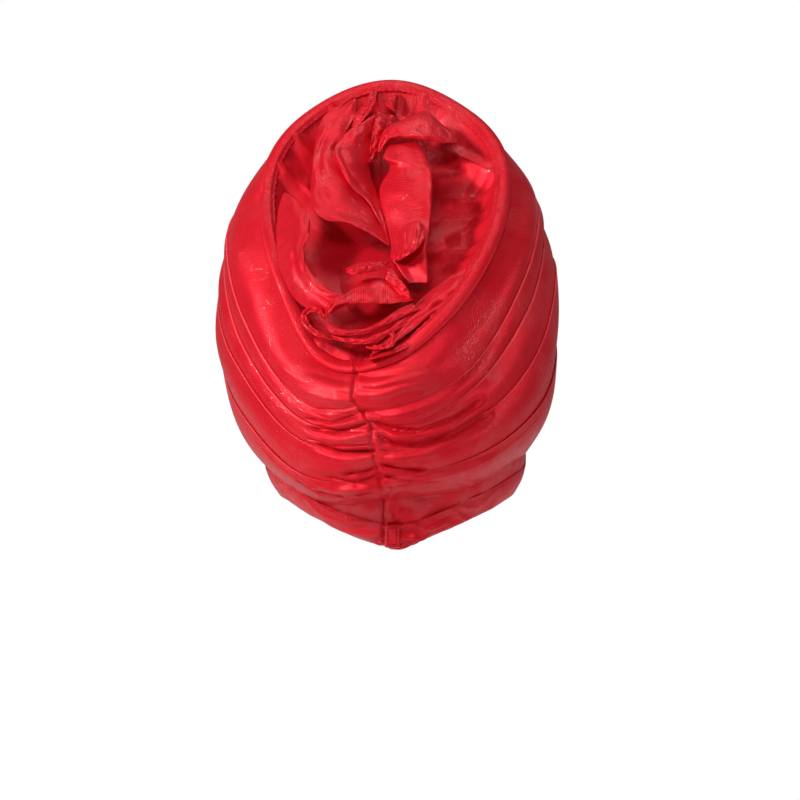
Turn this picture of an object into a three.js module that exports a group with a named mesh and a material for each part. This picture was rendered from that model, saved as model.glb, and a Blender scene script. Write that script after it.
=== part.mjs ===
// A ready-made turban headscarf: a stretch cap, five pleated wraps, a turned rim and a gathered crown.
// Millimetres. +Z is up, -Y is the wearer's face and +Y the back of the head.
// The origin is where the top of the head bears on the inside of the base cap.

import * as THREE from 'three';

// Driving dimensions of the head hollow, at its widest level
const HEAD_WIDTH = 160;
const HEAD_BACK = 92;
const HEAD_FRONT = 98;
const WIDEST_LEVEL = 92;
const NAPE_DROP = 180;

// Driving dimensions of the turban round it
const CROWN_RISE = 99;
const FULLNESS = 28;
const LEAN_DEG = 2.7;
const LEAN_LEVEL = 60;
const CAP_WALL = 2;
const WRAP_WALL = 1.8;
const GAP = 0.4;
const TUCK = 7;
const HEM_WIDTH = 15;
const HEM_WALL = 1.6;

// The ruched seam down the back
const SEAM_DEPTH = 2.6;
const SEAM_WIDTH = 11;

// The turned edge of the crown's opening
const ROLL_WIDTH = 7;
const ROLL_THICKNESS = 4;

// The gathered crown cloth: its wall, how high its folds stand, how deep it sinks above the dome, its knot
const CROWN_WALL = 1.8;
const FOLD_RISE = 21;
const SINK = 9;
const KNOT = { u: -0.06, v: -0.36, rise: 0.3 };

// The patch over the seam's end
const TAB_WIDTH = 10;
const TAB_HEIGHT = 15;
const TAB_THICKNESS = 1.2;
const TAB_ABOVE_EDGE = 2;

// Steps round the head
const STEPS = 60;

const TURBAN_HEIGHT = NAPE_DROP + CROWN_RISE;
const LEAN = Math.tan(THREE.MathUtils.degToRad(LEAN_DEG));

// Heights of each edge round the head, as shares of the turban's height above the nape.
// left is the wearer's +X side; the numbers are degrees from the middle of the back.
const HEIGHT_COLUMNS = [
  ['back', 0], ['left30', 30], ['left60', 60], ['left90', 90], ['left135', 135],
  ['front', 180], ['right135', 225], ['right90', 270], ['right60', 300], ['right30', 330],
];
const EDGE_HEIGHTS = {
  rim: {
    back: 0.42, left30: 0.416, left60: 0.591, left90: 0.745, left135: 0.912,
    front: 0.995, right135: 0.922, right90: 0.784, right60: 0.652, right30: 0.516,
  },
  ledge1: {
    back: 0.33, left30: 0.334, left60: 0.498, left90: 0.66, left135: 0.76,
    front: 0.805, right135: 0.775, right90: 0.72, right60: 0.577, right30: 0.405,
  },
  ledge2: {
    back: 0.29, left30: 0.297, left60: 0.444, left90: 0.605, left135: 0.69,
    front: 0.733, right135: 0.71, right90: 0.666, right60: 0.516, right30: 0.366,
  },
  ledge3: {
    back: 0.244, left30: 0.255, left60: 0.398, left90: 0.52, left135: 0.595,
    front: 0.648, right135: 0.62, right90: 0.59, right60: 0.427, right30: 0.305,
  },
  ledge4: {
    back: 0.185, left30: 0.176, left60: 0.287, left90: 0.387, left135: 0.49,
    front: 0.555, right135: 0.52, right90: 0.416, right60: 0.308, right30: 0.226,
  },
  wrapEnd: {
    back: 0.118, left30: 0.1, left60: 0.136, left90: 0.17, left135: 0.32,
    front: 0.455, right135: 0.335, right90: 0.187, right60: 0.174, right30: 0.133,
  },
  hem: {
    back: 0, left30: 0.029, left60: 0.078, left90: 0.092, left135: 0.26,
    front: 0.37, right135: 0.265, right90: 0.1, right60: 0.078, right30: 0.043,
  },
};

// How far each edge stands off the cap, as shares of the fullness, and the bulge of the cloth below it.
const EDGE_STANDOFF = {
  rim: { left: -0.16, right: -0.34, back: 0.7, front: -1.37, bulge: 0.16 },
  ledge1: { left: 0.62, right: 0.34, back: 0.95, front: 0.13, bulge: 0.05 },
  ledge2: { left: 0.67, right: 0.46, back: 1.02, front: 0.27, bulge: 0.05 },
  ledge3: { left: 0.82, right: 0.73, back: 1.02, front: 0.38, bulge: 0.08 },
  ledge4: { left: 0.75, right: 0.74, back: 0.9, front: 0.43, bulge: 0.16 },
};

// How much the cap narrows from its widest level down to the nape, as shares of its own size. Its sides stay
// full and turn in only near the hem.
const NARROWING = { side: 0.5, back: 0.16, front: 0.02 };
const SIDE_TURN_IN = 5;

// A smooth closed curve through one row's values at the columns' angles
function roundTheHead(row, degrees) {
  const turn = ((degrees % 360) + 360) % 360;
  const count = HEIGHT_COLUMNS.length;
  let at = count - 1;
  while (HEIGHT_COLUMNS[at][1] > turn) at -= 1;
  const angle = (i) => HEIGHT_COLUMNS[((i % count) + count) % count][1] + 360 * Math.floor(i / count);
  const value = (i) => row[HEIGHT_COLUMNS[((i % count) + count) % count][0]];
  const slope = (i) => (value(i + 1) - value(i - 1)) / (angle(i + 1) - angle(i - 1));
  const span = angle(at + 1) - angle(at);
  const t = (turn - angle(at)) / span;
  const rise = value(at + 1) - value(at);
  const bend = t * (1 - t);
  const ease = t * t * (3 - 2 * t);
  return value(at) + rise * ease + span * bend * (slope(at) * (1 - t) - slope(at + 1) * t);
}

function heightOf(edge, theta) {
  const share = roundTheHead(EDGE_HEIGHTS[edge], THREE.MathUtils.radToDeg(theta));
  return share * TURBAN_HEIGHT - NAPE_DROP;
}

// The wandering seam's path from the nape up, as [height, across]
const SEAM_PATH = [[-180, 3], [-141, 3], [-122, 7], [-105, 10], [-99, 10], [-93, 13], [-82, 21], [-60, 18]];

function seamX(z) {
  const above = SEAM_PATH.findIndex(([height]) => height > z);
  if (above <= 0) return above < 0 ? SEAM_PATH.at(-1)[1] : SEAM_PATH[0][1];
  const [low, start] = SEAM_PATH[above - 1];
  const [high, end] = SEAM_PATH[above];
  return THREE.MathUtils.mapLinear(z, low, high, start, end);
}

// How far the turban leans sideways at a height: only its lower part does
function leanX(z) {
  return LEAN * Math.min(0, z + LEAN_LEVEL);
}

// The seam draws the cloth in along its line, below the rim
function seamDent(x, y, z) {
  if (y < 0) return 0;
  const away = (x - seamX(z)) / SEAM_WIDTH;
  const below = THREE.MathUtils.smoothstep(heightOf('rim', 0) - z, -FULLNESS / 2, FULLNESS / 2);
  return SEAM_DEPTH * Math.exp(-away * away) * below;
}

// A point standing off the cap's outer face, by out.side at the sides and out.deep at the back or front.
// Below its widest level the cap narrows toward the nape. Above it, hug says how far the point follows the
// dome in: 0 stays upright, 1 lies on it.
function offCap(theta, out, z, hug = 0, wall = CAP_WALL) {
  const low = Math.max(0, -z - WIDEST_LEVEL) / (NAPE_DROP - WIDEST_LEVEL);
  const high = Math.min(1, Math.max(0, z + WIDEST_LEVEL) / (WIDEST_LEVEL + wall));
  const dome = 1 - hug * (1 - Math.sqrt(1 - high * high));
  const size = (half, share, power = 2) => (half * (1 - share * low ** power) + wall) * dome;
  const c = Math.cos(theta);
  const side = size(HEAD_WIDTH / 2, NARROWING.side, SIDE_TURN_IN);
  const deep = c > 0 ? size(HEAD_BACK, NARROWING.back) : size(HEAD_FRONT, NARROWING.front);
  const x = (side + out.side) * Math.sin(theta) + leanX(z);
  const y = (deep + out.deep) * c;
  return new THREE.Vector3(x, y - seamDent(x, y, z), z);
}

const evenly = (out) => ({ side: out, deep: out });

// A row of angles round the head, closer together at the back where the gathers are
function anglesRound(steps) {
  const CROWDING = 0.42;
  return Array.from({ length: steps }, (_, i) => {
    const u = (i / steps) * 2 * Math.PI;
    return u - CROWDING * Math.sin(u);
  });
}

// The two triangles of a four-sided cell. Outward and inward faces split it along the same line in space,
// so that nested walls stay parallel.
function cell(a, b, c, d, inward) {
  return inward ? [a, b, d, b, c, d] : [a, b, c, a, c, d];
}

function indexed(points, index) {
  const geometry = new THREE.BufferGeometry();
  const position = points.flatMap((p) => p.toArray());
  geometry.setAttribute('position', new THREE.Float32BufferAttribute(position, 3));
  geometry.setIndex(index);
  return geometry;
}

// A closed ring round the head: rows of points down its outer face, then down its inner face
function ringSolid(outer, inner) {
  const rings = [...outer, ...inner.toReversed()];
  const around = rings[0].length;
  const at = (row, j) => (row % rings.length) * around + (j % around);
  const index = [];
  for (let row = 0; row < rings.length; row += 1) {
    for (let j = 0; j < around; j += 1) {
      const inward = row >= outer.length;
      index.push(...cell(at(row, j), at(row, j + 1), at(row + 1, j + 1), at(row + 1, j), inward));
    }
  }
  return indexed(rings.flat(), index);
}

// A closed dome: rows of points down its outer face from one pole, then down its inner face from another
function domeSolid(outerPole, outer, innerPole, inner) {
  const rings = [...outer, ...inner.toReversed()];
  const around = rings[0].length;
  const at = (row, j) => 1 + row * around + (j % around);
  const end = 1 + rings.length * around;
  const index = [];
  for (let j = 0; j < around; j += 1) {
    index.push(0, at(0, j + 1), at(0, j));
    for (let row = 0; row < rings.length - 1; row += 1) {
      const inward = row >= outer.length;
      index.push(...cell(at(row, j), at(row, j + 1), at(row + 1, j + 1), at(row + 1, j), inward));
    }
    index.push(at(rings.length - 1, j), at(rings.length - 1, j + 1), end);
  }
  return indexed([outerPole, ...rings.flat(), innerPole], index);
}

// A closed slab between two grids of points, the outer one and the inner one
function slabSolid(outer, inner) {
  const rows = outer.length;
  const columns = outer[0].length;
  const at = (i, j, face) => face * rows * columns + i * columns + j;
  const index = [];
  for (let i = 0; i < rows - 1; i += 1) {
    for (let j = 0; j < columns - 1; j += 1) {
      index.push(...cell(at(i, j, 0), at(i + 1, j, 0), at(i + 1, j + 1, 0), at(i, j + 1, 0)));
      index.push(...cell(at(i, j + 1, 1), at(i + 1, j + 1, 1), at(i + 1, j, 1), at(i, j, 1)));
    }
  }
  const border = [];
  for (let i = 0; i < rows - 1; i += 1) border.push([i, 0]);
  for (let j = 0; j < columns - 1; j += 1) border.push([rows - 1, j]);
  for (let i = rows - 1; i > 0; i -= 1) border.push([i, columns - 1]);
  for (let j = columns - 1; j > 0; j -= 1) border.push([0, j]);
  border.forEach(([i, j], k) => {
    const [i2, j2] = border[(k + 1) % border.length];
    index.push(...cell(at(i2, j2, 0), at(i, j, 0), at(i, j, 1), at(i2, j2, 1)));
  });
  return indexed([...outer.flat(), ...inner.flat()], index);
}

const BANDS = ['rim', 'ledge1', 'ledge2', 'ledge3', 'ledge4', 'wrapEnd'];
const LAST_BAND = BANDS.length - 2;

// How far the outer face of an edge stands off the cap; the last edge lies on the cap
function standoff(edge, theta) {
  const seated = GAP + WRAP_WALL;
  if (edge === 'wrapEnd') return evenly(seated);
  const row = EDGE_STANDOFF[edge];
  const side = Math.sin(theta) > 0 ? row.left : row.right;
  const deep = Math.cos(theta) > 0 ? row.back : row.front;
  return { side: seated + FULLNESS * side, deep: seated + FULLNESS * deep };
}

// A point on the outer face of a wrap, at a share of the way from its top edge to the next edge,
// moved inward by into
function onFace(band, theta, share = 0, into = 0) {
  const top = heightOf(BANDS[band], theta);
  const next = heightOf(BANDS[band + 1], theta);
  const start = standoff(BANDS[band], theta);
  const end = standoff(BANDS[band + 1], theta);
  const behind = band === LAST_BAND ? 0 : (WRAP_WALL + GAP) * share;
  const bulge = FULLNESS * EDGE_STANDOFF[BANDS[band]].bulge * Math.sin(Math.PI * share);
  const hug = band === LAST_BAND ? share : 0;
  const shift = bulge - behind - into;
  const out = {
    side: THREE.MathUtils.lerp(start.side, end.side, share) + shift,
    deep: THREE.MathUtils.lerp(start.deep, end.deep, share) + shift,
  };
  return offCap(theta, out, top + (next - top) * share, hug);
}

// The share of a wrap's face that a distance down from its top edge takes
function shareDown(band, theta, distance) {
  return Math.min(0.8, distance / (heightOf(BANDS[band], theta) - heightOf(BANDS[band + 1], theta)));
}

// One wrap: its visible face, then a tuck behind the next wrap, and back up inside to a bevelled ledge
function wrapBand(band) {
  const rows = 3;
  const faces = [];
  for (let i = 0; i <= rows; i += 1) {
    faces.push((theta, into) => {
      const share = i === 0 && into > 0 ? shareDown(band, theta, WRAP_WALL) : i / rows;
      return onFace(band, theta, share, into);
    });
  }
  if (band < LAST_BAND) {
    faces.push((theta, into) => {
      const share = shareDown(band + 1, theta, TUCK);
      return onFace(band + 1, theta, share, into + WRAP_WALL + GAP);
    });
  }
  const angles = anglesRound(STEPS);
  const outer = faces.map((face) => angles.map((theta) => face(theta, 0)));
  const inner = faces.map((face) => angles.map((theta) => face(theta, WRAP_WALL)));
  return ringSolid(outer, inner);
}

// The cap: outer and inner domes from the crown down to the hem, joined along the lower edge
function baseCap() {
  const ROWS = 5;
  const angles = anglesRound(STEPS);
  const ring = (wall, row) => angles.map((theta) => {
    const casing = heightOf('hem', theta) + HEM_WIDTH;
    const down = 1 - Math.cos(((row / ROWS) * Math.PI) / 2);
    const z = row > ROWS ? heightOf('hem', theta) + HEM_WALL + GAP : wall + (casing - wall) * down;
    return offCap(theta, evenly(0), z, 1, wall);
  });
  const rows = Array.from({ length: ROWS + 1 }, (_, i) => i + 1);
  const outer = rows.map((row) => ring(CAP_WALL, row));
  const inner = rows.map((row) => ring(0, row));
  return domeSolid(new THREE.Vector3(0, 0, CAP_WALL), outer, new THREE.Vector3(0, 0, 0), inner);
}

// The casing turned round the cap's lower edge
function hemBand() {
  const seated = GAP + HEM_WALL;
  const angles = anglesRound(STEPS);
  const row = (out, up, wall) => angles.map((theta) => (
    offCap(theta, evenly(out), heightOf('hem', theta) + up, 1, wall)
  ));
  const outer = [
    row(seated, HEM_WIDTH, CAP_WALL),
    row(seated, HEM_WIDTH / 2, CAP_WALL),
    row(seated, 0, CAP_WALL),
  ];
  const inner = [
    row(GAP, HEM_WIDTH, CAP_WALL),
    row(GAP, HEM_WALL, CAP_WALL),
    row(0, HEM_WALL, 0),
    row(0, 0, 0),
  ];
  return ringSolid(outer, inner);
}

// The plane of the crown's opening: its middle, its way across, its way up and its way out
function openingFrame() {
  const back = onFace(0, 0);
  const front = onFace(0, Math.PI);
  const up = front.clone().sub(back);
  up.x = 0;
  const size = { across: onFace(0, Math.PI / 2).x, up: up.length() / 2 };
  up.normalize();
  const middle = back.add(front).multiplyScalar(0.5);
  const across = new THREE.Vector3(1, 0, 0);
  const out = new THREE.Vector3(0, up.z, -up.y);
  return { middle, across, up, out, size };
}
const OPENING = openingFrame();

// The rolled edge, lying on the first wrap's top edge and reaching into the opening
function rimRoll() {
  const SIDES = 6;
  const angles = anglesRound(STEPS);
  const edge = angles.map((theta) => onFace(0, theta));
  const centres = edge.map((p, i) => {
    const along = edge[(i + 1) % STEPS].clone().sub(edge[(i + STEPS - 1) % STEPS]).normalize();
    const inward = along.clone().cross(OPENING.out).normalize();
    const lift = OPENING.out.clone().multiplyScalar((ROLL_THICKNESS / 2) * Math.sin(Math.PI / 3) + GAP);
    return { inward, centre: p.clone().addScaledVector(inward, ROLL_WIDTH / 4).add(lift) };
  });
  const rows = Array.from({ length: SIDES }, (_, k) => centres.map(({ inward, centre }) => {
    const turn = (k / SIDES) * 2 * Math.PI;
    return centre.clone()
      .addScaledVector(inward, (-ROLL_WIDTH / 2) * Math.cos(turn))
      .addScaledVector(OPENING.out, (-ROLL_THICKNESS / 2) * Math.sin(turn));
  }));
  return ringSolid(rows, []);
}

// The crown's folds. Each runs along its crest from start through early and late to end, given as
// [u, v, rise]. u and v are shares of the opening's half width and half height, rise is a share of the fold
// rise, and left, right and lean are shares of the half width: how far the cloth spreads to each side and how
// far the crest hangs over.
const FOLDS = [
  {
    name: 'upper left petal', left: 0.14, right: 0.34, lean: 0.04,
    start: [0.3, 0.86, 0.25], early: [0.58, 0.55, 0.5], late: [0.5, -0.02, 0.5], end: [0, -0.28, 0.4],
  },
  {
    name: 'top petal', left: 0.21, right: 0.17, lean: -0.03,
    start: [0.08, 0.74, 0.4], early: [0.3, 0.5, 0.62], late: [0.2, 0.12, 0.5], end: [-0.03, -0.2, 0.4],
  },
  {
    name: 'upper right bow', left: 0.17, right: 0.22, lean: -0.05,
    start: [0.04, 0.42, 0.5], early: [-0.12, 0.6, 0.85], late: [-0.38, 0.68, 0.75], end: [-0.64, 0.5, 0.3],
  },
  {
    name: 'right petal', left: 0.17, right: 0.31, lean: -0.06,
    start: [-0.06, 0.42, 0.55], early: [-0.38, 0.28, 0.95], late: [-0.4, -0.12, 0.9], end: [-0.32, -0.5, 0.4],
  },
  {
    name: 'middle crest', left: 0.13, right: 0.17, lean: 0.02,
    start: [-0.05, 0.3, 0.6], early: [0, 0.12, 0.66], late: [0.02, -0.06, 0.6], end: [-0.06, -0.28, 0.5],
  },
  {
    name: 'small right petal', left: 0.11, right: 0.14, lean: -0.02,
    start: [-0.08, -0.22, 0.55], early: [-0.22, -0.16, 0.8],
    late: [-0.32, -0.22, 0.75], end: [-0.2, -0.34, 0.45],
  },
  {
    name: 'small left loop', left: 0.10, right: 0.11, lean: 0.01,
    start: [-0.05, -0.38, 0.5], early: [0.14, -0.4, 0.7], late: [0.28, -0.44, 0.62], end: [0.08, -0.5, 0.4],
  },
  {
    name: 'lower right petal', left: 0.14, right: 0.17, lean: -0.02,
    start: [-0.06, -0.4, 0.5], early: [-0.17, -0.5, 0.8], late: [-0.24, -0.6, 0.75], end: [-0.2, -0.7, 0.4],
  },
  {
    name: 'big left petal', left: 0.17, right: 0.25, lean: 0.04,
    start: [0.74, 0.16, 0.2], early: [0.66, -0.2, 0.5], late: [0.52, -0.52, 0.6], end: [0.2, -0.62, 0.5],
  },
  {
    name: 'hollow ridge', left: 0.08, right: 0.11, lean: 0.00,
    start: [0.36, -0.12, 0.15], early: [0.34, -0.22, 0.3], late: [0.3, -0.32, 0.3], end: [0.22, -0.42, 0.2],
  },
  {
    name: 'mouth upper lip', left: 0.10, right: 0.08, lean: -0.02,
    start: [0.46, -0.72, 0.35], early: [0.32, -0.65, 0.6],
    late: [0.05, -0.64, 0.65], end: [-0.2, -0.66, 0.45],
  },
  {
    name: 'mouth lower lip', left: 0.08, right: 0.11, lean: 0.02,
    start: [0.44, -0.78, 0.35], early: [0.3, -0.82, 0.55], late: [0.08, -0.8, 0.6], end: [-0.16, -0.74, 0.45],
  },
  {
    name: 'small lower loop', left: 0.07, right: 0.10, lean: 0.01,
    start: [0.64, -0.7, 0.2], early: [0.57, -0.69, 0.45], late: [0.5, -0.74, 0.45], end: [0.5, -0.84, 0.25],
  },
  {
    name: 'lower ruffle', left: 0.07, right: 0.11, lean: 0.02,
    start: [0.58, -0.78, 0.1], early: [0.44, -0.88, 0.35], late: [0.2, -0.94, 0.4], end: [-0.04, -0.92, 0.2],
  },
  {
    name: 'right lower fold', left: 0.14, right: 0.14, lean: 0.02,
    start: [-0.8, -0.34, 0.1], early: [-0.6, -0.42, 0.35], late: [-0.36, -0.6, 0.5], end: [-0.04, -0.8, 0.5],
  },
  {
    name: 'right rim fold', left: 0.10, right: 0.14, lean: 0.02,
    start: [-0.76, -0.44, 0.08], early: [-0.5, -0.6, 0.3], late: [-0.22, -0.8, 0.35], end: [0.06, -0.94, 0.2],
  },
  {
    name: 'right inner pleat', left: 0.13, right: 0.13, lean: 0.00,
    start: [-0.84, 0.12, 0.1], early: [-0.7, 0.1, 0.22], late: [-0.54, 0.06, 0.3], end: [-0.42, 0.02, 0.35],
  },
  {
    name: 'top rim fold', left: 0.10, right: 0.10, lean: 0.00,
    start: [-0.02, 0.9, 0.1], early: [0.02, 0.82, 0.25], late: [0.04, 0.74, 0.35], end: [0.06, 0.62, 0.35],
  },
];

// A point in the opening from its shares across and up and its distance out
function inOpening(u, v, out) {
  return OPENING.middle.clone()
    .addScaledVector(OPENING.across, u * OPENING.size.across)
    .addScaledVector(OPENING.up, v * OPENING.size.up)
    .addScaledVector(OPENING.out, out);
}

// The inner side of the rolled rim, as places in the opening
function crownEdge() {
  return anglesRound(STEPS).map((theta) => {
    const p = onFace(0, theta);
    const along = onFace(0, theta + 0.01).sub(p).normalize();
    const inward = along.cross(OPENING.out).normalize();
    p.addScaledVector(inward, 0.75 * ROLL_WIDTH + GAP);
    p.addScaledVector(OPENING.out, GAP + ROLL_THICKNESS / 2);
    p.sub(OPENING.middle);
    return {
      u: p.dot(OPENING.across) / OPENING.size.across,
      v: p.dot(OPENING.up) / OPENING.size.up,
      out: p.dot(OPENING.out),
    };
  });
}

// How far out the crown cloth lies, from its rolled edge to the knot: it sinks in the upper half
function clothOut(edgeOut, toKnot, v) {
  const upper = THREE.MathUtils.smoothstep(v, -0.4, 0.5);
  const sink = SINK * (upper - 0.25) * 4 * toKnot * (1 - toKnot);
  return edgeOut * (1 - toKnot) ** 2 + FOLD_RISE * KNOT.rise * toKnot ** 2 - sink;
}

const CREST_POINTS = 16;
const CRESTS = FOLDS.map((fold) => {
  const points = [fold.start, fold.early, fold.late, fold.end].map((p) => new THREE.Vector3(...p));
  return { fold, points: new THREE.CatmullRomCurve3(points).getPoints(CREST_POINTS) };
});

// How high the folds lift the cloth at a place in the opening, and how far they lean it sideways
function foldLift(u, v, out) {
  const { across, up } = OPENING.size;
  let best = { lift: 0, leanU: 0, leanV: 0 };
  for (const { fold, points } of CRESTS) {
    const far = points.map((c) => Math.hypot((u - c.x) * across, (v - c.y) * up));
    const near = far.indexOf(Math.min(...far));
    const before = points[Math.max(0, near - 1)];
    const after = points[Math.min(CREST_POINTS, near + 1)];
    const run = new THREE.Vector2((after.x - before.x) * across, (after.y - before.y) * up).normalize();
    const left = -(u - points[near].x) * across * run.y + (v - points[near].y) * up * run.x;
    const width = (left > 0 ? fold.left : fold.right) * across;
    const share = Math.min(1, far[near] / width);
    const arch = Math.cos((share * Math.PI) / 2) ** 2;
    const taper = Math.sin(Math.PI * (0.12 + (0.76 * near) / CREST_POINTS));
    const lift = Math.max(0, points[near].z * FOLD_RISE - out) * arch * taper;
    if (lift > best.lift) {
      const lean = fold.lean * arch * taper;
      best = { lift, leanU: -run.y * lean, leanV: (run.x * lean * across) / up };
    }
  }
  return best;
}

// The crown cloth from the rolled edge to the knot, raised into its folds and hollow under them
function crownRosette() {
  const ROWS = 12;
  const edge = crownEdge();
  const place = (u, v, out, wall) => {
    const { lift, leanU, leanV } = foldLift(u, v, out);
    return inOpening(u + leanU, v + leanV, out + lift + wall);
  };
  const face = (wall) => Array.from({ length: ROWS }, (_, i) => edge.map((p) => {
    const toKnot = 1 - (i + 1) / ROWS;
    const u = p.u + (KNOT.u - p.u) * toKnot;
    const v = p.v + (KNOT.v - p.v) * toKnot;
    const out = clothOut(p.out, toKnot, v);
    return toKnot > 0 ? place(u, v, out, wall) : inOpening(u, v, out + wall);
  }));
  const pole = (wall) => place(KNOT.u, KNOT.v, clothOut(0, 1, KNOT.v), wall);
  const half = CROWN_WALL / 2;
  return domeSolid(pole(half), face(half), pole(-half), face(-half));
}

// The patch over the seam's end, standing off the casing and the cap
function napeTab() {
  const COLUMNS = 4;
  const ROWS = 3;
  const top = heightOf('hem', 0) + TAB_ABOVE_EDGE + TAB_HEIGHT;
  const middle = seamX(heightOf('hem', 0) + TAB_HEIGHT / 2) - TAB_WIDTH / 2;
  const grid = (off) => {
    const rows = [];
    for (let i = 0; i <= ROWS; i += 1) {
      const z = top - (TAB_HEIGHT * i) / ROWS;
      rows.push(Array.from({ length: COLUMNS + 1 }, (_, j) => {
        const x = middle + TAB_WIDTH * (0.5 - j / COLUMNS);
        const theta = Math.asin((x - leanX(z)) / (HEAD_WIDTH / 2));
        return offCap(theta, evenly(2 * GAP + HEM_WALL + off), z, 1);
      }));
    }
    return rows;
  };
  return slabSolid(grid(TAB_THICKNESS), grid(0));
}

const part = new THREE.Group();

const CLOTH_RED = 0xc8102e;
const CAP_RED = 0xb80e2a;
const FINISH = { roughness: 0.38, metalness: 0.25 };

function addPiece(name, geometry, color) {
  geometry.computeVertexNormals();
  const mesh = new THREE.Mesh(geometry, new THREE.MeshStandardMaterial({ color, ...FINISH }));
  mesh.name = name;
  part.add(mesh);
}

addPiece('base_cap', baseCap(), CAP_RED);
addPiece('hem_band', hemBand(), CAP_RED);
addPiece('nape_tab', napeTab(), CAP_RED);
addPiece('rim_roll', rimRoll(), CLOTH_RED);
addPiece('crown_rosette', crownRosette(), CLOTH_RED);
for (let band = 0; band <= LAST_BAND; band += 1) {
  addPiece(`wrap_band_${band + 1}`, wrapBand(band), CLOTH_RED);
}

export default part;
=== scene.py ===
import math

import bmesh
import bpy
import numpy as np
from mathutils import Matrix, Vector


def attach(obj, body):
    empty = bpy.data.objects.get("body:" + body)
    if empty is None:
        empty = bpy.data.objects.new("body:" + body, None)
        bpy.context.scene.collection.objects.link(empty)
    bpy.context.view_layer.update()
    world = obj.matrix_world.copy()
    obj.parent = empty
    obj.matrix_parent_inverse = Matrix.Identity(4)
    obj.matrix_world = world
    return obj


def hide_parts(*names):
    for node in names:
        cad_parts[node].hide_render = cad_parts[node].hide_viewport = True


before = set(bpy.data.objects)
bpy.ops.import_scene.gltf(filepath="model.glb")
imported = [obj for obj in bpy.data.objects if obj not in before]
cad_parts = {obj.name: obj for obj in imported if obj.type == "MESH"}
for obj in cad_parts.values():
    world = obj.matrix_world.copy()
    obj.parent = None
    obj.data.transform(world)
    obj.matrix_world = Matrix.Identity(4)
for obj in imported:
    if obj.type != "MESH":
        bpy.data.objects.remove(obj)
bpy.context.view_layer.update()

# Base cap
# A close stretch cap of two layers of knitted red cloth, cut to the head and sewn up the back, which is
# seen only between the last wrap and the hem. All the wraps stand off it.
HEAD_WIDTH = 0.160
HEAD_BACK = 0.092
HEAD_FRONT = 0.098
WIDEST_LEVEL = 0.092
NAPE_DROP = 0.180
TURBAN_HEIGHT = 0.279
CAP_WALL = 0.002
GAP = 0.0004
LEAN = math.tan(math.radians(2.7))
LEAN_LEVEL = 0.060
NARROW_SIDE = 0.5
SIDE_TURN_IN = 5
NARROW_BACK = 0.16
NARROW_FRONT = 0.02
COLUMN_DEGREES = (0, 30, 60, 90, 135, 180, 225, 270, 300, 330)
# Each edge's share of the turban's height above the nape, at the column's degrees from the back's middle
EDGE_HEIGHTS = {
    "rim": (0.42, 0.416, 0.591, 0.745, 0.912, 0.995, 0.922, 0.784, 0.652, 0.516),
    "ledge1": (0.33, 0.334, 0.498, 0.66, 0.76, 0.805, 0.775, 0.72, 0.577, 0.405),
    "ledge2": (0.29, 0.297, 0.444, 0.605, 0.69, 0.733, 0.71, 0.666, 0.516, 0.366),
    "ledge3": (0.244, 0.255, 0.398, 0.52, 0.595, 0.648, 0.62, 0.59, 0.427, 0.305),
    "ledge4": (0.185, 0.176, 0.287, 0.387, 0.49, 0.555, 0.52, 0.416, 0.308, 0.226),
    "wrap_end": (0.118, 0.1, 0.136, 0.17, 0.32, 0.455, 0.335, 0.187, 0.174, 0.133),
    "hem": (0, 0.029, 0.078, 0.092, 0.26, 0.37, 0.265, 0.1, 0.078, 0.043),
}
# The seam's path down the back, as (height, across)
SEAM_PATH = (
    (-0.180, 0.003), (-0.141, 0.003), (-0.132, 0.0047), (-0.122, 0.007), (-0.113, 0.0087), (-0.105, 0.010),
    (-0.099, 0.010), (-0.093, 0.013), (-0.082, 0.021), (-0.070, 0.0195), (-0.060, 0.018),
)
SEAM_DEPTH = 0.0022
SEAM_WIDTH = 0.011
CREASE_DEPTH = 0.0016
CREASE_WIDTH = 0.0016
GATHER_STEP = 0.0068
GATHER_DEPTH = 0.0013
GATHER_REACH = 0.038
# The sharp creases drawn toward the seam: each one's depth and width, then its path as (across, height), all
# in millimetres
CREASES = (
    (1.0, 1.0, ((19.4, -87.4), (31.0, -89.6), (44.1, -89.6))),
    (1.8, 1.5, ((17.9, -91.8), (33.9, -97.3), (48.5, -95.8))),
    (2.2, 1.6, ((10.7, -96.2), (31.0, -102.1), (47.0, -101.4))),
    (1.3, 1.2, ((7.8, -109.0), (33.9, -110.9), (48.5, -107.3))),
    (2.2, 1.4, ((7.8, -113.1), (28.1, -113.9), (44.1, -109.9))),
    (1.8, 1.5, ((6.3, -122.0), (13.6, -125.3), (27.8, -127.8))),
    (1.4, 1.4, ((4.1, -127.1), (19.4, -133.0), (36.9, -130.0))),
    (1.6, 1.8, ((4.8, -138.1), (25.2, -144.3), (45.6, -141.0), (55.8, -133.7))),
    (1.2, 1.1, ((1.9, -93.3), (16.5, -89.6))),
    (2.6, 2.6, ((-56.3, -85.2), (-38.8, -94.8), (-17.0, -101.1), (-3.9, -99.9), (12.1, -95.5))),
    (2.8, 2.6, ((-60.6, -94.0), (-38.8, -104.3), (-17.0, -109.5), (-5.3, -109.2), (7.8, -102.9))),
    (1.2, 1.1, ((-6.8, -113.6), (7.0, -111.7))),
    (2.0, 1.5, ((-22.1, -125.2), (-3.9, -123.1), (6.3, -120.5))),
    (1.3, 1.2, ((-18.4, -131.5), (-6.8, -130.8), (4.8, -127.8))),
    (1.4, 1.8, ((-33.0, -133.0), (-9.7, -134.4), (2.7, -137.4))),
)
CREASE_SCALE = 0.0021
CRUMPLE_TOP = -0.130
CRUMPLE_DEPTH = 0.0022
CRUMPLE_FADE = 0.009
CRUMPLE_REACH = 0.062
BEHIND_FROM = 0.01
BEHIND_TO = 0.05
RIM_FADE = 0.006
CROWDING = 0.42
CAP_COLUMNS = 420
CAP_ROWS = 90
CAP_THICKNESS = 0.0015
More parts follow.
